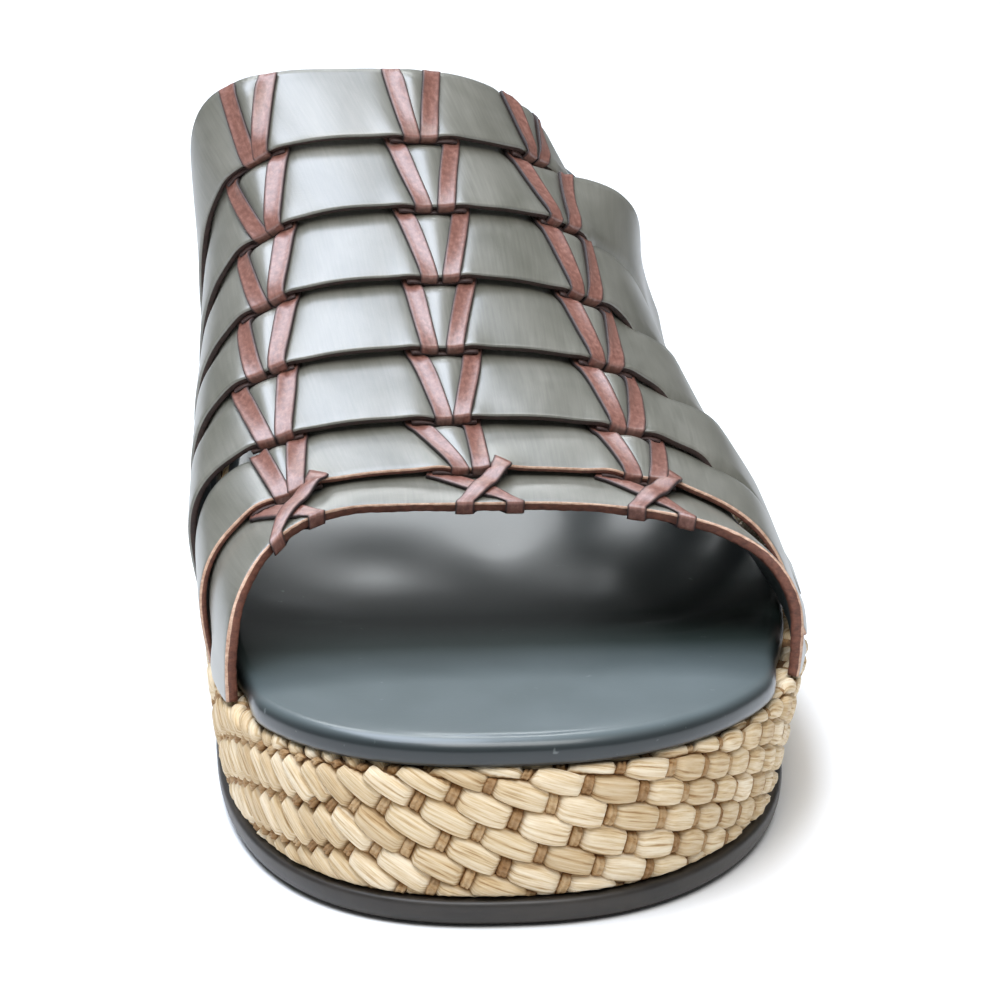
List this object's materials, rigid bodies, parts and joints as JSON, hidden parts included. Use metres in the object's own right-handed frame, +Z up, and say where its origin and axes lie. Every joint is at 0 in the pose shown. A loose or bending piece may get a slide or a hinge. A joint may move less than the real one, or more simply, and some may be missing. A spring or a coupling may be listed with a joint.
{
  "type": "wedge slide sandal",
  "caption": "Open-toe wedge slide sandal: shingled leather straps laced in columns over a padded footbed, on a straw-wrapped wedge with a thin rubber sole.",
  "frame": {"origin": "on the floor under the sole, at the middle of its length on the sole's axis", "axes": "+Z up, +Y from the toe toward the heel, +X toward the little-toe (lateral) side"},
  "size_m": [0.0973, 0.256, 0.1023],
  "materials": {
    "rubber_sole": "matt charcoal rubber, rounded at the lower edge",
    "straw": "pale twisted straw in a slanted weave with brown ties",
    "footbed_leather": "satin slate leather over padding, softly creased",
    "strap_leather": "brushed olive-grey leather with dark brown cut edges",
    "lace_leather": "burnished reddish-brown flat lace"
  },
  "bodies": {
    "root": {"outsole": "rubber_sole", "wedge": "straw", "footbed": "footbed_leather", "strap_1": "strap_leather", "strap_2": "strap_leather", "strap_3": "strap_leather", "strap_4": "strap_leather", "strap_5": "strap_leather", "strap_6": "strap_leather", "strap_7": "strap_leather", "lace_medial": "lace_leather", "lace_centre": "lace_leather", "lace_lateral": "lace_leather"}
  },
  "joints": []
}
